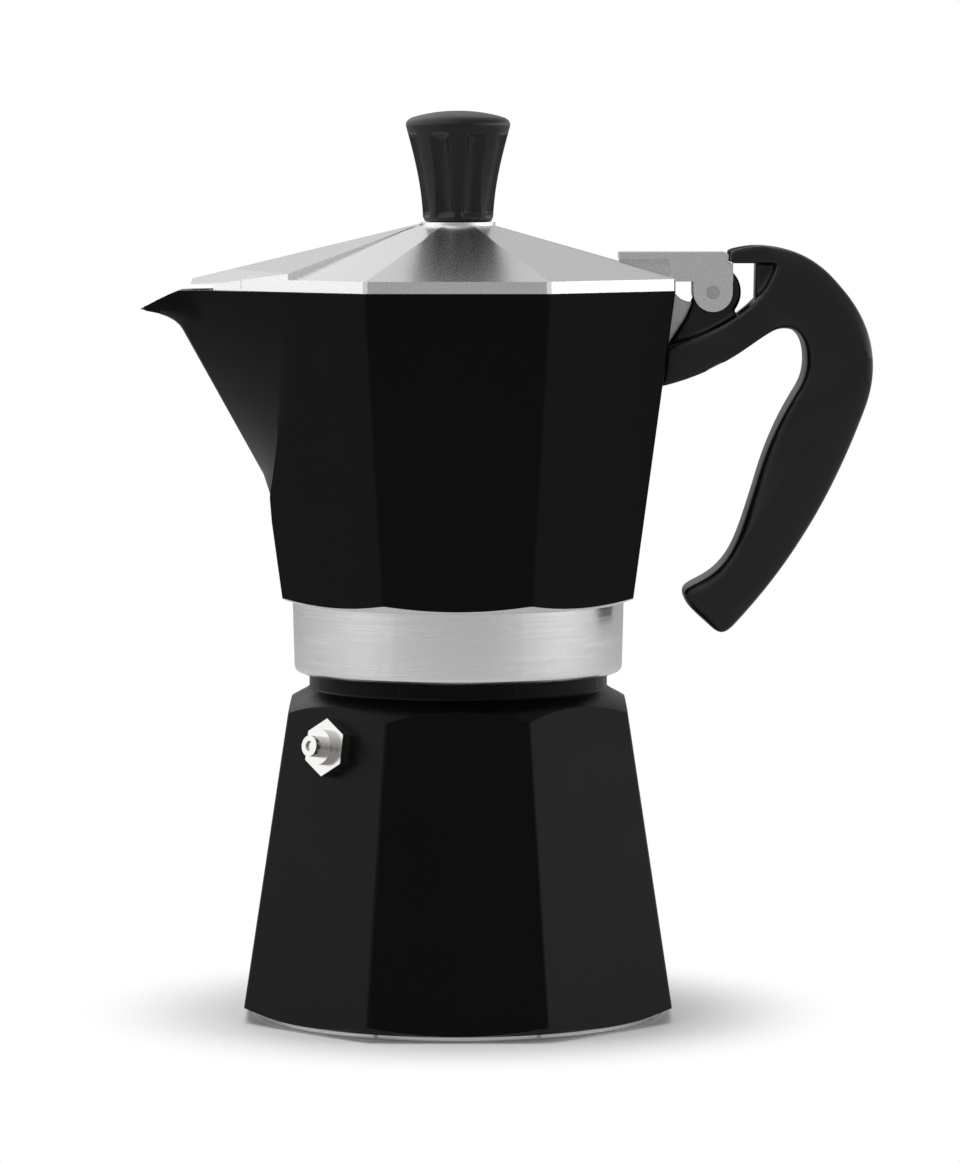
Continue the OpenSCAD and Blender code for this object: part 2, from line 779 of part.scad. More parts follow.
// Room for the lid's tongue as it swings back between the handle's two wings.
module tongue_sweep() {
    reach = plate_rise + 0.4;
    lean = lid_open - 90 + 1;
    translate([pin_x, pin_z])
        difference() {
            union() {
                difference() {
                    circle(r = sweep_r);
                    rotate(-42)
                        translate([-far, -far])
                            square([2 * far, far]);
                }
                intersection() {
                    rotate(-lean)
                        translate([-far, 0])
                            square([far + reach, far]);
                    translate([-20, 0])
                        square([60, 20]);
                }
            }
            circle(r = nose_disc_r);
        }
}

module handle() {
    heel_z = rim_z - 19;
    color([0.08, 0.08, 0.09])
    difference() {
        union() {
            intersection() {
                side_profile(handle_w + 2) polygon(handle_outline());
                handle_width();
            }
            side_profile(2 * web_half)
                translate([pin_x, pin_z])
                    circle(r = nose_disc_r);
        }
        for (side = [-1, 1])
            translate([0, side * (web_half + far / 2), 0])
                side_profile(far) shoulder_scoop();
        side_profile(2 * tongue_half + 0.6) tongue_sweep();
        // slot for the collector's lug
        translate([0, -lug_w / 2 - turned_gap, heel_z - 1])
            cube([pin_x + 5.6, lug_w + 2 * turned_gap, far]);
        facets(collector_foot_apothem + turned_gap, rim_apothem + turned_gap, collar_top_z, rim_z);
        translate([pin_x, 0, pin_z])
            rotate([90, 0, 0])
                cylinder(h = handle_w + 4, r = pin_r + pin_clearance, center = true);
    }
}

boiler();
valve_body();
valve_stem();
valve_spring();
valve_seat();
funnel_basket();
funnel_tube();
funnel_screen();
gasket();
filter_plate();
collector();
lid();
knob();
knob_insert();
knob_screw();
knob_washer();
hinge_pin();
handle();
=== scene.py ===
"""Looks of the moka pot: lacquered and bare cast aluminium, moulded black handle and knob."""

import json
import math

import bmesh
import bpy
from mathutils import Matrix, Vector


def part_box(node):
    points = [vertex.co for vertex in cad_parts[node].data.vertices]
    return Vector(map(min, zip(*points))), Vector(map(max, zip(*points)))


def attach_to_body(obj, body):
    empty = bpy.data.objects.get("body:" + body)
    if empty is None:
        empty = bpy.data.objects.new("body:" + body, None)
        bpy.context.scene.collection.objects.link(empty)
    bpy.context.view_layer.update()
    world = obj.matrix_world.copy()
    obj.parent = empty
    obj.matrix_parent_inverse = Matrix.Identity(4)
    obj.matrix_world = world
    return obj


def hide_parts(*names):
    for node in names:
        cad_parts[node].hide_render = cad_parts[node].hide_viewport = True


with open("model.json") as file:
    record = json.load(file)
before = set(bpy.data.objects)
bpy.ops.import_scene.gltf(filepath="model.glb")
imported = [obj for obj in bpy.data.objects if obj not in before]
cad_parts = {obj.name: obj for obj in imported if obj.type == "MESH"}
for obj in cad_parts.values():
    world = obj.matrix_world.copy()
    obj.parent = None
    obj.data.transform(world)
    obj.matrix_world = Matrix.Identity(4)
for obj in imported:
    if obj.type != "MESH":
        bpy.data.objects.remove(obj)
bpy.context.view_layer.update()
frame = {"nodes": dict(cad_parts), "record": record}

MM = 0.001
TAN = math.tan(math.pi / 8)

# ---- sizes of the castings, in millimetres, as the CAD model has them ----

BOILER = dict(apothem=51.5, top_apothem=40.8, facet_z=3.8, shoulder_z=75.0, neck_r=36.2, wall=2.8)
BOILER["slope"] = (BOILER["apothem"] - BOILER["top_apothem"]) / (BOILER["shoulder_z"] - BOILER["facet_z"])
NECK_Z = BOILER["shoulder_z"] + 4.6
COLLAR_Z = BOILER["shoulder_z"] + 8.3
MOUTH_Z = BOILER["shoulder_z"] + 19
COLLAR_TOP = COLLAR_Z + 17.3
COLLAR_R = 40.2
FLOOR_Z = COLLAR_Z + 22.5
RIM_Z = 176.0
RIM_APOTHEM = 51.9
FOOT_APOTHEM = 41.9
WALL = 2.8
SPOUT_Z = RIM_Z - 50.5
SPOUT_REACH = 72.1
LIP_REACH = 77.0
NOSE_SLOPE = 0.555
CURL_DROP = 9.5
CURL_H = 4.3
CURL_REACH = LIP_REACH - SPOUT_REACH + NOSE_SLOPE * (CURL_DROP - CURL_H)
THREAD_PITCH = 4.0
PIN = Vector((61.4, 0.0, RIM_Z - 0.6))

KNOB_LOW, KNOB_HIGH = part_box("knob")
HANDLE_LOW, HANDLE_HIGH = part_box("handle")


# ---- mesh helpers ----

def mix(a, b, t):
    return a + (b - a) * t


def solve(f, low, high):
    """The place between low and high where f changes from negative to positive."""
    for _ in range(40):
        mid = (low + high) / 2
        if f(mid) > 0:
            high = mid
        else:
            low = mid
    return (low + high) / 2


def make_object(name, verts, faces, materials, indices=None):
    mesh = bpy.data.meshes.new(name)
    mesh.from_pydata([Vector(v) * MM for v in verts], [], faces)
    for material in materials:
        mesh.materials.append(material)
    if indices:
        mesh.polygons.foreach_set("material_index", indices)
    mesh.validate()
    obj = bpy.data.objects.new(name, mesh)
    bpy.context.scene.collection.objects.link(obj)
    bm = bmesh.new()
    bm.from_mesh(mesh)
    bmesh.ops.remove_doubles(bm, verts=bm.verts, dist=0.002 * MM)
    bmesh.ops.recalc_face_normals(bm, faces=bm.faces)
    bm.to_mesh(mesh)
    bm.free()
    return obj


def soften(obj, angle=28, bevel=0.0, segments=2):
    """Rounds the edges sharper than angle and shades the rest smooth."""
    if bevel:
        mod = obj.modifiers.new("edges", "BEVEL")
        mod.width = bevel * MM
        mod.segments = segments
        mod.limit_method = "ANGLE"
        mod.angle_limit = math.radians(angle)
        mod.harden_normals = False
        mod.miter_outer = "MITER_ARC"
    obj.data.shade_smooth()
    bm = bmesh.new()
    bm.from_mesh(obj.data)
    limit = math.radians(angle + 4)
    for edge in bm.edges:
        if len(edge.link_faces) == 2 and edge.calc_face_angle(0) > limit:
            edge.smooth = False
    if not bevel:
        bm.to_mesh(obj.data)
    bm.free()
    if bevel:
        weighted = obj.modifiers.new("normals", "WEIGHTED_NORMAL")
        weighted.keep_sharp = False
        weighted.weight = 80


def skin(rows, closed_rows=True):
    """Vertices and quads of a grid whose rows are rings with the same number of points."""
    n = len(rows[0])
    verts = [p for row in rows for p in row]
    faces = []
    for r in range(len(rows) - 1):
        for k in range(n):
            b = (k + 1) % n
            faces.append((r * n + k, r * n + b, (r + 1) * n + b, (r + 1) * n + k))
    return verts, faces


def turned(profile, steps=128):
    """Rings of a turned shape, from its (radius, height) profile."""
    return [[(r * math.cos(a), r * math.sin(a), z) for a in (2 * math.pi * k / steps for k in range(steps))]
            for r, z in profile]


def bezier(a, b, c, d, n):
    points = []
    for i in range(n):
        t = i / n
        s = 1 - t
        points.append(tuple(s ** 3 * a[k] + 3 * s * s * t * b[k] + 3 * s * t * t * c[k] + t ** 3 * d[k]
                            for k in range(2)))
    return points


# ---- materials ----

def new_material(name, color, metallic, roughness):
    mat = bpy.data.materials.new(name)
    mat.use_nodes = True
    nodes, links = mat.node_tree.nodes, mat.node_tree.links
    shader = nodes["Principled BSDF"]
    shader.inputs["Base Color"].default_value = (*color, 1)
    shader.inputs["Metallic"].default_value = metallic
    shader.inputs["Roughness"].default_value = roughness
    coords = nodes.new("ShaderNodeTexCoord")
    return mat, nodes, links, shader, coords.outputs["Object"]


def noise(nodes, links, coords, scale, stretch=(1, 1, 1), detail=4.0):
    mapping = nodes.new("ShaderNodeMapping")
    mapping.inputs["Scale"].default_value = stretch
    links.new(coords, mapping.inputs["Vector"])
    tex = nodes.new("ShaderNodeTexNoise")
    tex.inputs["Scale"].default_value = scale
    tex.inputs["Detail"].default_value = detail
    links.new(mapping.outputs["Vector"], tex.inputs["Vector"])
    return tex.outputs["Fac"]


def ranged(nodes, links, value, low, high):
    node = nodes.new("ShaderNodeMapRange")
    node.inputs["From Min"].default_value = 0.3
    node.inputs["From Max"].default_value = 0.7
    node.inputs["To Min"].default_value = low
    node.inputs["To Max"].default_value = high
    links.new(value, node.inputs["Value"])
    return node.outputs["Result"]


def bump(nodes, links, shader, height, distance, strength=1.0):
    node = nodes.new("ShaderNodeBump")
    node.inputs["Distance"].default_value = distance
    node.inputs["Strength"].default_value = strength
    links.new(height, node.inputs["Height"])
    links.new(node.outputs["Normal"], shader.inputs["Normal"])


def lacquer():
    """Satin black lacquer with a faint orange peel and slightly lighter worn patches."""
    mat, nodes, links, shader, coords = new_material("black_lacquer", (0.0012, 0.0012, 0.0013), 0.0, 0.3)
    shader.inputs["Specular IOR Level"].default_value = 0.085
    cloud = noise(nodes, links, coords, 60)
    links.new(ranged(nodes, links, cloud, 0.27, 0.33), shader.inputs["Roughness"])
    ramp = nodes.new("ShaderNodeValToRGB")
    ramp.color_ramp.elements[0].color = (0.0010, 0.0010, 0.0011, 1)
    ramp.color_ramp.elements[1].color = (0.0018, 0.0018, 0.0019, 1)
    links.new(noise(nodes, links, coords, 25), ramp.inputs["Fac"])
    links.new(ramp.outputs["Color"], shader.inputs["Base Color"])
    bump(nodes, links, shader, noise(nodes, links, coords, 900, detail=2.0), 0.000004, 0.35)
    return mat


def bare_metal(name, color, roughness, stretch, scale=900, depth=0.000002, spread=0.05):
    """Aluminium with the fine lines that turning or brushing leaves."""
    mat, nodes, links, shader, coords = new_material(name, color, 1.0, roughness)
    lines = noise(nodes, links, coords, scale, stretch, 3.0)
    links.new(ranged(nodes, links, lines, roughness - spread, roughness + spread), shader.inputs["Roughness"])
    tint = nodes.new("ShaderNodeValToRGB")
    tint.color_ramp.elements[0].color = (*[c * 0.96 for c in color], 1)
    tint.color_ramp.elements[1].color = (*[min(1, c * 1.03) for c in color], 1)
    links.new(noise(nodes, links, coords, 40, stretch), tint.inputs["Fac"])
    links.new(tint.outputs["Color"], shader.inputs["Base Color"])
    bump(nodes, links, shader, lines, depth, 0.5)
    return mat


def bakelite():
    """Semi-gloss black moulding with a faint flow mottle."""
    mat, nodes, links, shader, coords = new_material("bakelite", (0.0020, 0.0020, 0.0021), 0.0, 0.34)
    shader.inputs["Specular IOR Level"].default_value = 0.42
    links.new(ranged(nodes, links, noise(nodes, links, coords, 90), 0.31, 0.38), shader.inputs["Roughness"])
    bump(nodes, links, shader, noise(nodes, links, coords, 500, detail=3.0), 0.000008, 0.25)
    return mat


def rubber():
    mat, nodes, links, shader, coords = new_material("white_rubber", (0.78, 0.77, 0.72), 0.0, 0.6)
    links.new(ranged(nodes, links, noise(nodes, links, coords, 200), 0.5, 0.7), shader.inputs["Roughness"])
    bump(nodes, links, shader, noise(nodes, links, coords, 700), 0.00004, 0.3)
    return mat


LACQUER = lacquer()
TURNED = bare_metal("turned_aluminium", (0.88, 0.88, 0.88), 0.25, (0.04, 0.04, 1.6))
SATIN = bare_metal("satin_aluminium", (0.80, 0.80, 0.81), 0.27, (1, 0.15, 1), 1400, 0.0000001, 0.01)
CAST = bare_metal("cast_aluminium", (0.66, 0.66, 0.67), 0.4, (1, 1, 1), 900, 0.0000015, 0.04)
SPUN = bare_metal("spun_aluminium", (0.78, 0.78, 0.79), 0.25, (0.05, 0.05, 1.5))
STEEL = bare_metal("nickelled_steel", (0.62, 0.61, 0.59), 0.22, (1, 1, 1), 1500, 0.0000005, 0.03)
BRASS = bare_metal("turned_brass", (0.78, 0.58, 0.28), 0.3, (0.1, 0.1, 1.4))
BAKELITE = bakelite()
RUBBER = rubber()


# ---- boiler ----

FLAT_STEPS = 12
CORNER_STEPS = 5
CORNER_R = 1.6


def octagon_columns():
    """Each column of the eight-sided skin as (facet's angle, place along it from -1 to 1, turn in the corner)."""
    columns = []
    for k in range(8):
        facet = k * math.pi / 4
        columns += [(facet, mix(-1, 1, i / FLAT_STEPS), 0.0) for i in range(FLAT_STEPS + 1)]
        columns += [(facet, 1.0, i * math.pi / 4 / (CORNER_STEPS + 1)) for i in range(1, CORNER_STEPS + 1)]
    return columns


def octagon_point(column, apothem, corner_r=CORNER_R):
    facet, along, turn = column
    half = (apothem - corner_r) * TAN
    x = apothem - corner_r + corner_r * math.cos(turn)
    y = along * half + corner_r * math.sin(turn)
    return (x * math.cos(facet) - y * math.sin(facet), x * math.sin(facet) + y * math.cos(facet))


def on_circle(point, radius, z):
    r = math.hypot(point[0], point[1])
    return (point[0] * radius / r, point[1] * radius / r, z)


def boiler_apothem(z):
    return BOILER["apothem"] - BOILER["slope"] * (z - BOILER["facet_z"])


def build_boiler():
    columns = octagon_columns()
    vertex_r = BOILER["apothem"] / math.cos(math.pi / 8)
    top_vertex_r = BOILER["top_apothem"] / math.cos(math.pi / 8) + 0.3
    shoulder = BOILER["shoulder_z"]

    def foot_cone(z):
        return mix(BOILER["apothem"] - 0.3, vertex_r, (z - 1.3) / (BOILER["facet_z"] - 1.3))

    def shoulder_cone(z):
        t = (z - shoulder + 0.6) / (NECK_Z - shoulder)
        return mix(top_vertex_r, BOILER["neck_r"] + 0.9, t) + 0.45 * math.sin(math.pi * min(1, max(0, t)))

    def place(column, z):
        x, y = octagon_point(column, boiler_apothem(z))
        return (x, y, z)

    low = [solve(lambda z: foot_cone(z) - math.hypot(*place(c, z)[:2]), 1.3, 6.0) for c in columns]
    high = [solve(lambda z: math.hypot(*place(c, z)[:2]) - shoulder_cone(z), shoulder - 2.5, NECK_Z) for c in columns]
    base = [place(c, 4) for c in columns]
    rows = [[on_circle(p, r, z) for p in base] for r, z in ((42, 0.6), (44, 0), (49.8, 0), (50.3, 0.5), (50.3, 1.3))]
    foot_rows = len(rows)
    rows += [[place(c, mix(lo, hi, t)) for c, lo, hi in zip(columns, low, high)] for t in (0, 0.04, 0.3, 0.6, 0.95, 1)]
    facet_rows = len(rows)
    for t in (0.15, 0.35, 0.55, 0.75, 0.9):
        ring = []
        for p, hi in zip(base, high):
            z = mix(hi, NECK_Z - 0.6, t)
            ring.append(on_circle(p, shoulder_cone(z), z))
        rows.append(ring)
    neck = BOILER["neck_r"]
    rows += [[on_circle(p, r, z) for p in base] for r, z in (
        (neck + 0.75, NECK_Z - 0.45), (neck + 0.2, NECK_Z - 0.1), (neck, NECK_Z + 0.3), (neck, COLLAR_Z - 0.3))]
    painted_rows = len(rows)
    rows += [[on_circle(p, r, z) for p in base] for r, z in (
        (34.9, COLLAR_Z + 0.1), (34.9, MOUTH_Z - 0.6), (34.3, MOUTH_Z), (30.9, MOUTH_Z),
        (30.9, shoulder + 1), (38, shoulder - 6), (47.5, 10), (44.5, 3.6), (0.5, 3.6))]
    verts, faces = skin(rows)
    n = len(columns)
    verts.append((0, 0, 0.6))
    centre = len(verts) - 1
    faces += [(centre, (k + 1) % n, k) for k in range(n)]
    indices = []
    for r in range(len(rows) - 1):
        bare = r < foot_rows - 1 or r >= painted_rows - 1
        indices += [1 if bare else 0] * n
    indices += [1] * n
    obj = make_object("boiler_casting", verts, faces, [LACQUER, TURNED], indices)
    bore_for_valve(obj)
    soften(obj, 24, 0.35, 2)
    thread = helix("boiler_thread", 34.6, 36.0, COLLAR_Z + 1.9, 1.75)
    return obj, thread


def bore_for_valve(casting, radius=4.5, height=67.5):
    """Cuts the hole the valve sits in, square to the facet it is screwed into."""
    joint = next(j for j in frame["record"]["behaviour"]["joints"] if j["name"] == "valve_press")
    inward = Vector(joint["axis"]).normalized()
    outward = inward if inward.x < 0 else -inward
    reach = boiler_apothem(height) / math.sqrt(2)
    mesh = bpy.data.meshes.new("valve_bore")
    bm = bmesh.new()
    bmesh.ops.create_cone(bm, cap_ends=True, segments=48, radius1=radius * MM, radius2=radius * MM, depth=10 * MM)
    bm.to_mesh(mesh)
    bm.free()
    cutter = bpy.data.objects.new("valve_bore", mesh)
    bpy.context.scene.collection.objects.link(cutter)
    cutter.rotation_euler = outward.to_track_quat("Z", "Y").to_euler()
    cutter.location = Vector((-reach, -reach, height)) * MM - outward * 1.4 * MM
    mod = casting.modifiers.new("cut", "BOOLEAN")
    mod.operation = "DIFFERENCE"
    mod.solver = "EXACT"
    mod.object = cutter
    bake(casting)
    bpy.data.objects.remove(cutter)


def helix(name, root_r, crest_r, z0, turns, steps=64):
    """The ridge of a screw thread."""
    count = round(steps * turns)
    fade = 7
    rows = []
    for i in range(count + 1):
        angle = 2 * math.pi * i / steps
        z = z0 + THREAD_PITCH * i / steps
        reach = mix(root_r, crest_r, min(1, (i + 0.5) / fade, (count - i + 0.5) / fade))
        rows.append([(r * math.cos(angle), r * math.sin(angle), z + dz) for r, dz in (
            (root_r, -0.85), (reach, -0.55), (reach, 0.55), (root_r, 0.85))])
    verts, faces = skin(rows)
    faces += [(0, 1, 2, 3), tuple(len(verts) - 1 - k for k in range(4))]
    obj = make_object(name, verts, faces, [TURNED])
    soften(obj, 30)
    return obj


# ---- collector ----

def collector_apothem(z):
    return FOOT_APOTHEM + (RIM_APOTHEM - FOOT_APOTHEM) * (z - COLLAR_TOP) / (RIM_Z - COLLAR_TOP)


def nose_line(z):
    return SPOUT_REACH - NOSE_SLOPE * (RIM_Z - z)


def curl_part(z):
    return min(1.0, max(0.0, (CURL_DROP - RIM_Z + z) / CURL_H))


def nose_reach(z):
    straight = nose_line(min(z, RIM_Z - CURL_DROP + CURL_H))
    return straight + CURL_REACH * (1 - math.sqrt(1 - curl_part(z) ** 2))


ROOT_STEPS = 8
SIDE_STEPS = 12
ARC_STEPS = 14


def collector_outline(z, inset=0.0):
    """Level outline: an octagon whose facets beside the spout run out into a rounded V."""
    a = collector_apothem(z) - inset
    c = a * TAN
    t = max(0.0, (z - SPOUT_Z) / (RIM_Z - SPOUT_Z))
    root_y = c + t * (33.6 - inset - c)
    root = Vector((-(a * math.sqrt(2) - root_y), root_y))
    nose = max(a + 0.03, nose_line(z) - 1.25 * inset)
    lip = max(nose, nose_reach(z - 0.55 * inset) - 1.25 * inset)
    r = 3.4 - 0.6 * inset
    spread = max(5.0, 90 - math.degrees(math.atan2(root_y, max(0.01, nose + root.x))))
    lip_spread = spread + curl_part(z) * (75 - spread)
    tangent = Vector((-(nose - r + r * math.cos(math.radians(spread))), r * math.sin(math.radians(spread))))
    knee = root + 0.8 * (tangent - root)

    def on_arc(part):
        angle = math.radians(part * lip_spread)
        return Vector((-(lip - r + r * math.cos(angle)), r * math.sin(angle)))

    corner = CORNER_R if not inset else 3.0
    back_corner = octagon_point((math.pi / 2, 1.0, math.pi / 4), a, corner)
    half = []
    for facet in (0, 1, 2):
        first = 0.0 if facet == 0 else -1.0
        half += [octagon_point((facet * math.pi / 4, mix(first, 1, i / FLAT_STEPS), 0.0), a, corner)
                 for i in range(FLAT_STEPS + 1)]
        half += [octagon_point((facet * math.pi / 4, 1.0, i * math.pi / 4 / (CORNER_STEPS + 1)), a, corner)
                 for i in range(1, CORNER_STEPS + 1)]
    start = Vector(back_corner)
    half += [tuple(start.lerp(root, i / ROOT_STEPS)) for i in range(1, ROOT_STEPS)]
    half += [tuple(root.lerp(knee, i / SIDE_STEPS)) for i in range(SIDE_STEPS)]
    first_arc = on_arc(1)
    half += [tuple(knee.lerp(first_arc, i / 4)) for i in range(4)]
    half += [tuple(on_arc(1 - i / ARC_STEPS)) for i in range(ARC_STEPS + 1)]
    mirrored = [(x, -y) for x, y in reversed(half[1:-1])]
    return half + mirrored


def lip_height(x):
    """Height of the rim's top over the lip, which falls towards the tip."""
    run = max(0.0, -x - (SPOUT_REACH - 5.1))
    total = LIP_REACH - SPOUT_REACH + 5.1
    drop = CURL_DROP - CURL_H - 0.4
    return RIM_Z - drop * (run / total) ** 1.15


def collector_columns(inset, bottoms, parts):
    """Rows of the skin between the given bottom heights and the rim or the lip's edge."""
    sample = collector_outline(RIM_Z, inset)
    n = len(sample)
    tops = []
    for k in range(n):
        if sample[k][0] > -66:
            tops.append(RIM_Z)
            continue
        tops.append(solve(lambda z: z - lip_height(collector_outline(z, inset)[k][0]), RIM_Z - CURL_DROP, RIM_Z))
    cache = {}

    def at(k, z):
        key = round(z, 3)
        if key not in cache:
            cache[key] = collector_outline(key, inset)
        x, y = cache[key][k]
        return (x, y, z)

    return [[at(k, mix(bottoms[k], tops[k], t)) for k in range(n)] for t in parts]


def build_collector():
    sample = collector_outline(COLLAR_TOP)
    n = len(sample)
    vertex_r = FOOT_APOTHEM / math.cos(math.pi / 8) + 0.4

    def foot_cone(z):
        return mix(COLLAR_R, vertex_r, (z - COLLAR_TOP + 0.3) / 2.1)

    bottoms = []
    for k in range(n):
        reach = math.hypot(*sample[k])
        bottoms.append(solve(lambda z: foot_cone(z) - reach - 0.1357 * (z - COLLAR_TOP), COLLAR_TOP - 0.4, COLLAR_TOP + 3))
    parts = [0, 0.01, 0.12, 0.25, 0.33, 0.42, 0.5, 0.58, 0.66, 0.74, 0.8, 0.85, 0.875, 0.9, 0.915, 0.93,
             0.945, 0.96, 0.972, 0.984, 1]
    outer = collector_columns(0, bottoms, parts)
    inner_parts = [1, 0.985, 0.97, 0.95, 0.93, 0.9, 0.85, 0.75, 0.6, 0.45, 0.25, 0.08, 0.02, 0]
    inner = collector_columns(WALL, [FLOOR_Z + 0.4] * n, inner_parts)
    base = outer[0]
    collar = [(5.2, FLOOR_Z - 2.5), (26, COLLAR_TOP - 1.4), (30.4, COLLAR_TOP - 1.4), (30.4, COLLAR_TOP - 2.3),
              (36.6, COLLAR_TOP - 2.3), (36.6, COLLAR_Z + 0.8), (37.4, COLLAR_Z), (38.4, COLLAR_Z + 0.05),
              (39.2, COLLAR_Z + 0.35), (39.65, COLLAR_Z + 0.9), (39.8, COLLAR_Z + 1.7),
              (40.0, COLLAR_Z + 9), (40.2, COLLAR_TOP - 0.25)]
    rows = [[on_circle(p, r, z) for p in base] for r, z in collar]
    collar_rows = len(rows)
    rows += outer
    outer_rows = len(rows)
    rows += inner
    floor = [(30, FLOOR_Z + 0.6), (16, FLOOR_Z + 1.1), (11.5, FLOOR_Z + 3), (10, FLOOR_Z + 6),
             (6.8, 157), (5.6, 159.3), (3, 160), (0.3, 160)]
    rows += [[on_circle(p, r, z) for p in base] for r, z in floor]
    verts, faces = skin(rows)
    indices = []
    for r in range(len(rows) - 1):
        if r < collar_rows:
            index = 1
        elif r == outer_rows - 2:
            indices += [1 if x < -66 else 0 for x, y in sample]
            continue
        elif r < outer_rows - 1:
            index = 0
        elif r == outer_rows - 1:
            index = 1
        else:
            index = 2
        indices += [index] * n
    obj = make_object("collector_casting", verts, faces, [LACQUER, TURNED, CAST], indices)
    soften(obj, 24, 0.4, 2)
    lug = build_lug()
    thread = helix("collar_thread", 37.0, 35.4, COLLAR_Z + 1.9 + THREAD_PITCH / 2, 0.9)
    return obj, lug, thread


def prism(name, outline, half_width, materials):
    """A plate cut to an outline in the side view and centred across it."""
    n = len(outline)
    verts = [(x, y, z) for y in (-half_width, half_width) for x, z in outline]
    faces = [tuple(range(n)), tuple(range(2 * n - 1, n - 1, -1))]
    faces += [(k, (k + 1) % n, n + (k + 1) % n, n + k) for k in range(n)]
    obj = make_object(name, verts, faces, materials)
    return obj


def build_lug():
    heel = RIM_Z - 19
    fillet = bezier((RIM_APOTHEM + 0.2, RIM_Z - 0.3), (RIM_APOTHEM + 1, RIM_Z - 2), (RIM_APOTHEM + 3, RIM_Z - 3.6),
                    (PIN.x - 3, PIN.z - 2.5), 10)
    round_end = [(PIN.x + 5 * math.cos(a), PIN.z + 5 * math.sin(a))
                 for a in (math.radians(150 - 12 * k) for k in range(19))]
    outline = [(collector_apothem(heel) - 1, heel), (RIM_APOTHEM - 2, RIM_Z - 0.3)] + fillet + round_end
    obj = prism("hinge_lug", outline, 3.0, [CAST])
    soften(obj, 30, 0.3, 2)
    return obj


# ---- knob ----

def knob_profile():
    """Radius and height of the knob's side and dome."""
    h, r, foot = 26.8, 12.7, 8.2
    edge = h - 3.2
    points = [(0.2, 0.05), (foot - 0.5, 0.05), (foot - 0.1, 0.25), (foot, 0.6)]
    points += bezier((foot + 0.3, 1.2), (foot + 0.7, h * 0.35), (r - 2, h * 0.6), (r - 0.3, edge - 1.2), 34)
    points += bezier((r - 0.3, edge - 1.2), (r + 0.1, edge), (r, edge + 0.9), (r - 1.6, edge + 1.6), 12)
    points += bezier((r - 1.6, edge + 1.6), (r * 0.6, h - 0.5), (r * 0.3, h), (0, h), 14)
    return points + [(0.15, h)]


def build_knob(flutes=8, flute_r=3.2):
    """The knob's turned shape with round flutes that lean with its side."""
    h, r = 26.8, 12.7
    lean = math.tan(math.radians(10.5))
    steps = 320
    low = KNOB_LOW.z / MM
    step = 2 * math.pi / flutes
    rows = []
    for radius, z in knob_profile():
        ring = []
        for k in range(steps):
            angle = 2 * math.pi * k / steps
            off = (angle + step) % step - step / 2
            axis = r - 0.8 + (z - h * 0.42) * lean
            side = axis * math.sin(off)
            end = min(1, max(0, (h * 0.37 - abs(z - h * 0.42)) / 0.6))
            reach = radius
            if end and abs(side) < flute_r:
                cut = min(radius, axis * math.cos(off) - math.sqrt(flute_r ** 2 - side ** 2))
                reach = mix(radius, cut, end)
            ring.append((reach * math.cos(angle), reach * math.sin(angle), low + z))
        rows.append(ring)
    verts, faces = skin(rows)
    top = len(verts) - steps
    faces.append(tuple(range(steps)))
    faces.append(tuple(range(len(verts) - 1, top - 1, -1)))
    obj = make_object("knob_moulding", verts, faces, [BAKELITE])
    obj.data.shade_smooth()
    return obj


# ---- handle ----

def handle_outline():
    """Side view of the handle: over the top, down the back, round the foot and up the finger gap."""
    r, top, foot, heel, crown = 101.0, RIM_Z + 10.9, RIM_Z - 83.3, RIM_Z - 23.2, RIM_Z - 9
    wing = PIN.x + 4
    points = []
    points += bezier((wing, top - 1.5), (r - 30, top + 0.4), (r - 18, top + 1.6), (r - 9, RIM_Z + 1), 16)
    points += bezier((r - 9, RIM_Z + 1), (r - 3, RIM_Z - 5.5), (r + 1.4, RIM_Z - 15), (r - 2.2, RIM_Z - 27), 14)
    points += bezier((r - 2.2, RIM_Z - 27), (r - 9, RIM_Z - 46), (r - 18, RIM_Z - 64), (r - 35, foot + 1.4), 18)
    points += bezier((r - 35, foot + 1.4), (r - 37, foot - 0.6), (r - 38, foot - 0.4), (r - 40, foot + 2), 6)
    points += bezier((r - 40, foot + 2), (r - 44, foot + 5.6), (r - 50, foot + 10), (r - 45.2, foot + 12), 10)
    points += bezier((r - 45.2, foot + 12), (r - 35, foot + 16), (r - 34, foot + 22), (r - 29.5, foot + 36), 14)
    points += bezier((r - 29.5, foot + 36), (r - 26, foot + 49), (r - 21.5, foot + 56), (r - 18.3, foot + 61), 12)
    points += bezier((r - 18.3, foot + 61), (r - 16, foot + 66), (r - 17, crown + 0.5), (r - 22.6, crown), 12)
    points += bezier((r - 22.6, crown), (r - 28, crown - 0.4), (r - 34, RIM_Z - 19), (collector_apothem(heel), heel), 16)
    points += [(collector_apothem(heel) + 0.1, heel), (collector_apothem(RIM_Z - 14) + 0.1, RIM_Z - 14),
               (PIN.x - 6.5, PIN.z - 6), (PIN.x - 4, PIN.z), (wing, PIN.z + 6.5)]
    return points


def handle_half_width(z):
    """Half the handle's width: slim in the grip and wide over the shoulders."""
    t = min(1.0, max(0.0, (z - 133) / 28))
    flare = min(1.0, max(0.0, (112 - z) / 18))
    return mix(8.75, 11.0, t * t * (3 - 2 * t)) + 0.55 * flare


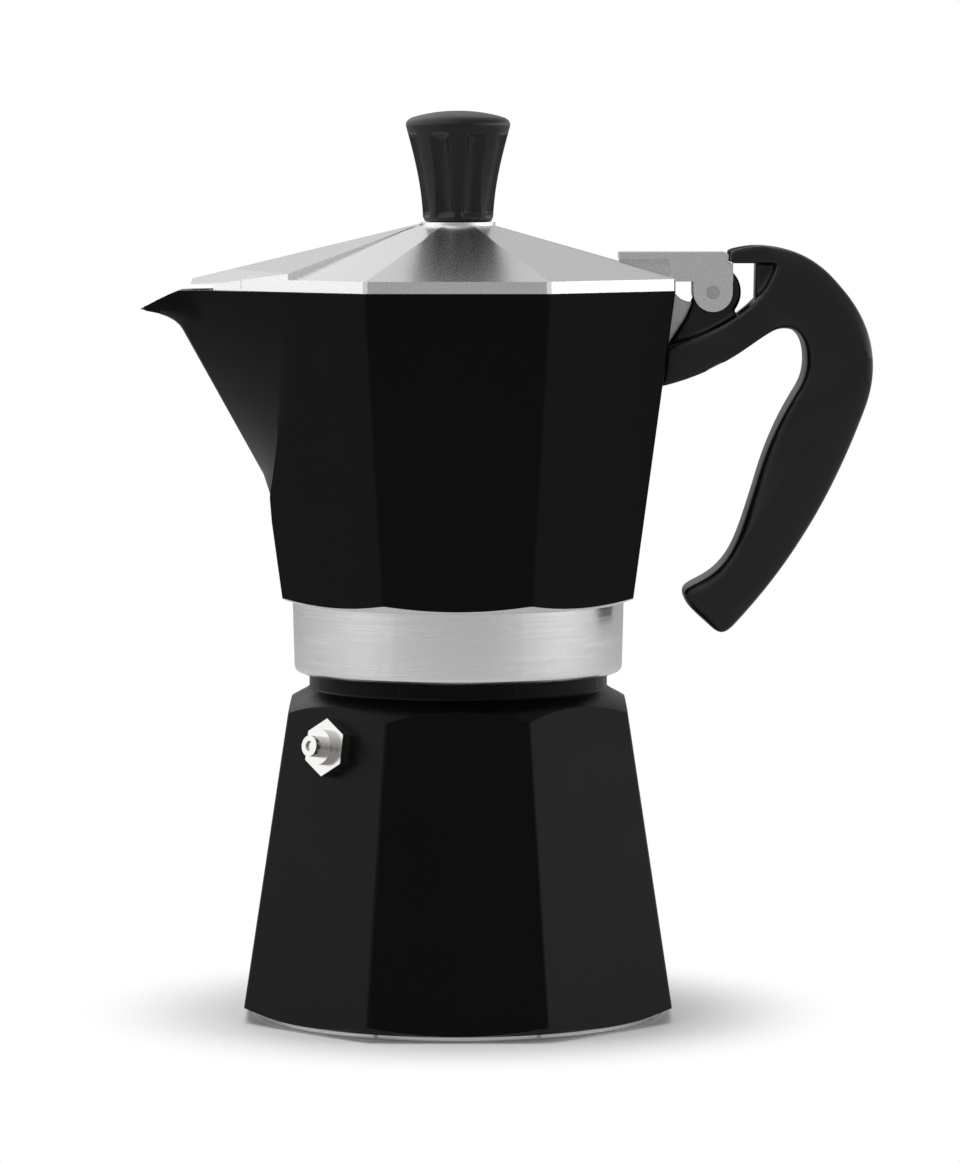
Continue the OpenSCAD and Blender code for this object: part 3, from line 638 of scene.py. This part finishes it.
def build_handle():
    """The moulding, cut first and then worn round: softly over the grip and finely at the hinge."""
    outline = handle_outline()
    n = len(outline)
    rows = []
    for side in (-1, -0.5, 0, 0.5, 1):
        rows.append([(x, side * handle_half_width(z), z) for x, z in outline])
    verts, faces = skin(rows)
    faces.append(tuple(reversed(range(n))))
    faces.append(tuple(4 * n + k for k in range(n)))
    obj = make_object("handle_moulding", verts, faces, [BAKELITE])
    cut_handle(obj)
    bake(obj, remesh=0.42)
    bm = bmesh.new()
    bm.from_mesh(obj.data)
    grip, hinge = [], []
    for v in bm.verts:
        near = math.hypot(v.co.x / MM - PIN.x, v.co.z / MM - PIN.z)
        (grip if near > 17 and v.co.x / MM > 60 or v.co.z / MM < RIM_Z - 24 else hinge).append(v)
    for k in range(90):
        bmesh.ops.smooth_vert(bm, verts=grip, factor=0.5, use_axis_x=True, use_axis_y=True, use_axis_z=True)
        if k % 12 == 0:
            bmesh.ops.smooth_vert(bm, verts=hinge, factor=0.5, use_axis_x=True, use_axis_y=True, use_axis_z=True)
    bm.to_mesh(obj.data)
    bm.free()
    obj.data.shade_smooth()
    return obj


def bake(obj, remesh=0.0):
    """Applies the object's modifiers, with a voxel remesh after them where a size is given."""
    if remesh:
        mod = obj.modifiers.new("voxels", "REMESH")
        mod.mode = "VOXEL"
        mod.voxel_size = remesh * MM
    bpy.context.view_layer.update()
    graph = bpy.context.evaluated_depsgraph_get()
    mesh = bpy.data.meshes.new_from_object(obj.evaluated_get(graph))
    obj.modifiers.clear()
    obj.data = mesh


def cut_handle(obj):
    """Cuts the hollows beside the hinge, the tongue's room and the lug's slot."""
    scoop = [(PIN.x - 14, PIN.z + 7), (PIN.x + 15.2, PIN.z + 7)]
    scoop += bezier((PIN.x + 15.2, PIN.z + 7), (PIN.x + 13, PIN.z - 2), (PIN.x + 5, PIN.z - 8),
                    (PIN.x - 9.5, PIN.z - 12.5), 20)
    scoop += [(PIN.x - 9.5, PIN.z - 12.5), (PIN.x - 14, PIN.z - 15)]
    cutters = []
    for side in (-1, 1):
        cutter = prism("scoop", scoop, 10, [BAKELITE])
        cutter.location.y = side * (5.3 + 10) * MM
        cutters.append(cutter)
    sweep_r = 10.7
    nose = 6.9
    arc = [(PIN.x + sweep_r * math.cos(a), PIN.z + sweep_r * math.sin(a))
           for a in (math.radians(-42 + 6 * k) for k in range(5))]
    inner = [(PIN.x + nose * math.cos(a), PIN.z + nose * math.sin(a))
             for a in (math.radians(148 - 10 * k) for k in range(20))]
    sweep = arc + [(PIN.x + sweep_r, PIN.z + 20), (PIN.x - 20, PIN.z + 20), (PIN.x - 20, PIN.z + 4)] + inner
    cutters.append(prism("sweep", sweep, 8.3, [BAKELITE]))
    slot = [(20, RIM_Z - 20), (PIN.x + 5.6, RIM_Z - 20), (PIN.x + 5.6, RIM_Z + 30), (20, RIM_Z + 30)]
    cutters.append(prism("slot", slot, 3.05, [BAKELITE]))
    for cutter in cutters:
        mod = obj.modifiers.new("cut", "BOOLEAN")
        mod.operation = "DIFFERENCE"
        mod.solver = "EXACT"
        mod.object = cutter
    bake(obj)
    for cutter in cutters:
        bpy.data.objects.remove(cutter)


# ---- dressing of the parts that keep their CAD shape ----

def dress(node, material, angle=20, bevel=0.0, segments=2):
    obj = frame["nodes"][node]
    obj.data.materials.clear()
    obj.data.materials.append(material)
    if bevel:
        mod = obj.modifiers.new("edges", "BEVEL")
        mod.width = bevel * MM
        mod.segments = segments
        mod.limit_method = "ANGLE"
        mod.angle_limit = math.radians(angle)
        weighted = obj.modifiers.new("normals", "WEIGHTED_NORMAL")
        weighted.weight = 80
    return obj


def dress_nodes():
    dress("lid", SATIN, 8, 0.35)
    dress("hinge_pin", STEEL, 30, 0.2)
    dress("valve_body", STEEL, 20, 0.25)
    for node in ("valve_stem", "valve_spring", "valve_seat", "knob_screw", "knob_washer"):
        dress(node, STEEL)
    dress("knob_insert", BRASS)
    for node in ("funnel_basket", "funnel_tube", "funnel_screen", "filter_plate"):
        dress(node, SPUN)
    dress("gasket", RUBBER, 30, 0.3)


# ---- studio ----

def area_light(name, place, target, size, power):
    data = bpy.data.lights.new(name, "AREA")
    data.shape = "RECTANGLE"
    data.size, data.size_y = size
    data.energy = power
    light = bpy.data.objects.new(name, data)
    bpy.context.scene.collection.objects.link(light)
    light.location = place
    light.visible_glossy = False
    light.rotation_euler = (Vector(target) - Vector(place)).to_track_quat("-Z", "Y").to_euler()
    return light


def build_studio():
    build_world()
    area_light("sky", (-0.1, 0.1, 1.1), (0, 0, 0.1), (1.0, 0.8), 6.5)
    area_light("left_strip", (-1.1, -0.45, 0.25), (0, 0, 0.12), (0.35, 1.1), 3)
    area_light("right_strip", (1.0, -0.25, 0.25), (0, 0, 0.12), (0.45, 1.1), 3)
    build_floor()


def ramp_node(nodes, links, value, *stops):
    """A grey ramp through (position, level) stops."""
    node = nodes.new("ShaderNodeValToRGB")
    elements = node.color_ramp.elements
    elements[0].position, elements[1].position = stops[0][0], stops[-1][0]
    for place, level in stops[1:-1]:
        elements.new(place)
    for element, (place, level) in zip(elements, stops):
        element.color = (level, level, level, 1)
    links.new(value, node.inputs["Fac"])
    return node.outputs["Color"]


def build_world():
    """White to the camera; to reflections a room that is dim ahead, bright at the sides and overhead."""
    world = bpy.data.worlds.new("studio")
    bpy.context.scene.world = world
    world.use_nodes = True
    nodes, links = world.node_tree.nodes, world.node_tree.links
    background = nodes["Background"]
    path = nodes.new("ShaderNodeLightPath")
    coords = nodes.new("ShaderNodeTexCoord")
    split = nodes.new("ShaderNodeSeparateXYZ")
    links.new(coords.outputs["Generated"], split.inputs[0])
    half = nodes.new("ShaderNodeMath")
    half.operation = "MULTIPLY_ADD"
    half.inputs[1].default_value = 0.5
    half.inputs[2].default_value = 0.5
    links.new(split.outputs["X"], half.inputs[0])
    walls = ramp_node(nodes, links, half.outputs[0], (0.0, 1.6), (0.07, 1.4), (0.2, 0.55), (0.35, 0.34),
                      (0.5, 0.4), (0.65, 0.34), (0.8, 0.7), (0.93, 1.9), (1.0, 2.2))
    ceiling = ramp_node(nodes, links, half.outputs[0], (0.0, 1.45), (0.35, 1.3), (0.5, 0.65), (0.7, 0.5),
                        (1.0, 0.42))
    blend = ramp_node(nodes, links, split.outputs["Z"], (0.12, 0.0), (0.42, 1.0))
    room = nodes.new("ShaderNodeMix")
    room.data_type = "RGBA"
    links.new(blend, room.inputs[0])
    links.new(walls, room.inputs[6])
    links.new(ceiling, room.inputs[7])
    soft = nodes.new("ShaderNodeMix")
    soft.data_type = "RGBA"
    links.new(path.outputs["Is Diffuse Ray"], soft.inputs[0])
    links.new(room.outputs[2], soft.inputs[6])
    soft.inputs[7].default_value = (0.5, 0.5, 0.5, 1)
    seen = nodes.new("ShaderNodeMix")
    seen.data_type = "RGBA"
    links.new(path.outputs["Is Camera Ray"], seen.inputs[0])
    links.new(soft.outputs[2], seen.inputs[6])
    seen.inputs[7].default_value = (1, 1, 1, 1)
    links.new(seen.outputs[2], background.inputs["Color"])
    background.inputs["Strength"].default_value = 1.0


def build_floor():
    """Pale floor: keeps the contact shadow near the pot and fades to plain white away from it."""
    bpy.ops.mesh.primitive_plane_add(size=8)
    floor = bpy.context.object
    floor.name = "floor"
    mat, nodes, links, shader, coords = new_material("floor", (0.9, 0.9, 0.9), 0.0, 0.8)
    shader.inputs["Specular IOR Level"].default_value = 0.1
    floor.data.materials.append(mat)
    length = nodes.new("ShaderNodeVectorMath")
    length.operation = "LENGTH"
    links.new(coords, length.inputs[0])
    fade = nodes.new("ShaderNodeMapRange")
    fade.interpolation_type = "SMOOTHSTEP"
    fade.inputs["From Min"].default_value = 0.055
    fade.inputs["From Max"].default_value = 0.095
    links.new(length.outputs["Value"], fade.inputs["Value"])
    path = nodes.new("ShaderNodeLightPath")
    shade = nodes.new("ShaderNodeMapRange")
    shade.inputs["To Min"].default_value = 0.9
    shade.inputs["To Max"].default_value = 0.55
    links.new(path.outputs["Is Glossy Ray"], shade.inputs["Value"])
    links.new(shade.outputs["Result"], shader.inputs["Base Color"])
    seen = nodes.new("ShaderNodeMath")
    seen.operation = "MULTIPLY"
    links.new(fade.outputs["Result"], seen.inputs[0])
    links.new(path.outputs["Is Camera Ray"], seen.inputs[1])
    white = nodes.new("ShaderNodeEmission")
    mixer = nodes.new("ShaderNodeMixShader")
    links.new(seen.outputs[0], mixer.inputs["Fac"])
    links.new(shader.outputs[0], mixer.inputs[1])
    links.new(white.outputs[0], mixer.inputs[2])
    links.new(mixer.outputs[0], nodes["Material Output"].inputs["Surface"])


def build_camera():
    """A long lens a little over a metre away, level with the knob and tipped slightly down."""
    data = bpy.data.cameras.new("camera")
    data.sensor_width = 36
    data.lens = 5406 / 1163 * 36
    camera = bpy.data.objects.new("camera", data)
    bpy.context.scene.collection.objects.link(camera)
    camera.location = (0.0053, -1.31, 0.2065)
    camera.rotation_euler = (math.pi / 2 - 0.0773, 0, 0)
    bpy.context.scene.camera = camera


def attach(obj, body, slot_name, *nodes):
    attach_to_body(obj, body)
    if nodes:
        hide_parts(*nodes)


boiler, boiler_thread = build_boiler()
attach(boiler, "boiler", "black_paint", "boiler")
attach(boiler_thread, "boiler", "cast_aluminium")
collector, lug, collar_thread = build_collector()
attach(collector, "collector", "black_paint", "collector")
attach(lug, "collector", "cast_aluminium")
attach(collar_thread, "collector", "cast_aluminium")
attach(build_knob(), "lid", "bakelite", "knob")
attach(build_handle(), "collector", "bakelite", "handle")
dress_nodes()
build_studio()
build_camera()
bpy.context.scene.view_settings.view_transform = "Standard"
